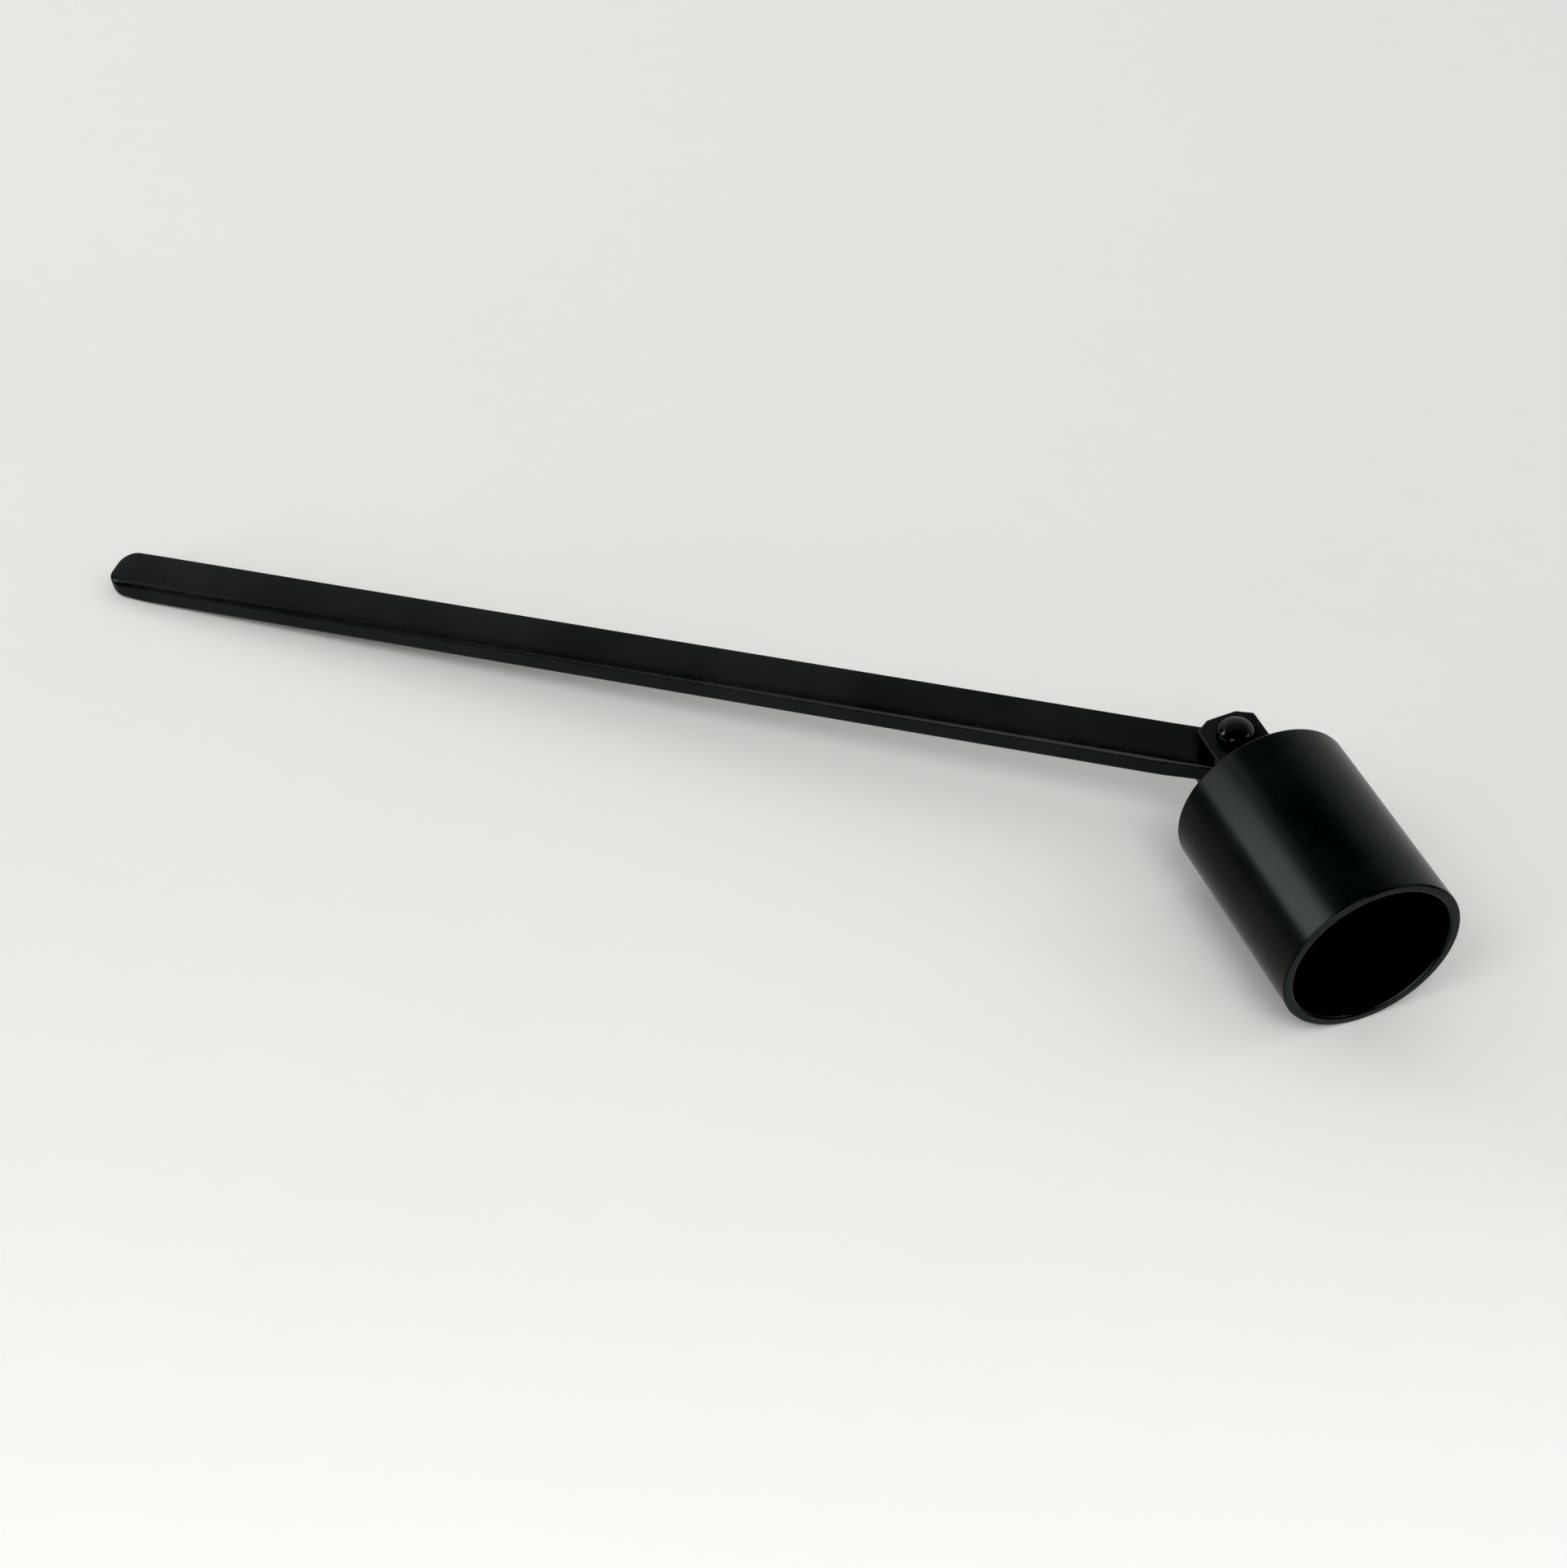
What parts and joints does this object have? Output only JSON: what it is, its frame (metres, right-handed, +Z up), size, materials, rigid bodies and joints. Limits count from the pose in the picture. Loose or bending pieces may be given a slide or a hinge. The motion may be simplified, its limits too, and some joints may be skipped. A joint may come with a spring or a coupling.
{
  "type": "candle snuffer",
  "caption": "Candle snuffer with a straight-sided cup hinged in a clevis bracket on a long flat bar handle, lying at rest on its side.",
  "frame": {"origin": "on the table, under the middle of the snuffer's box as it lies at rest", "axes": "+Z up from the table; +X along the handle from the tail towards the cup; the cup's mouth faces +X and -Y"},
  "size_m": [0.2306, 0.0476, 0.028],
  "materials": {
    "black_satin": "satin black coating",
    "black_gloss": "semi-gloss black coating",
    "black_nylon": "matt black nylon"
  },
  "bodies": {
    "handle": {"handle_bar": "black_satin"},
    "cup": {"snuffer_cup": "black_satin", "clevis_bracket": "black_satin", "pivot_rivet": "black_gloss", "upper_spacer_washer": "black_nylon", "lower_spacer_washer": "black_nylon", "bracket_rivet": "black_gloss"}
  },
  "joints": [
    {"name": "cup_swing", "type": "hinge", "parent": "handle", "child": "cup", "pos_m": [0.07794, 0.01814, 0.014], "axis": [-0.0621, -0.0494, 0.9968], "range_deg": [-55.9, 159.1]}
  ]
}
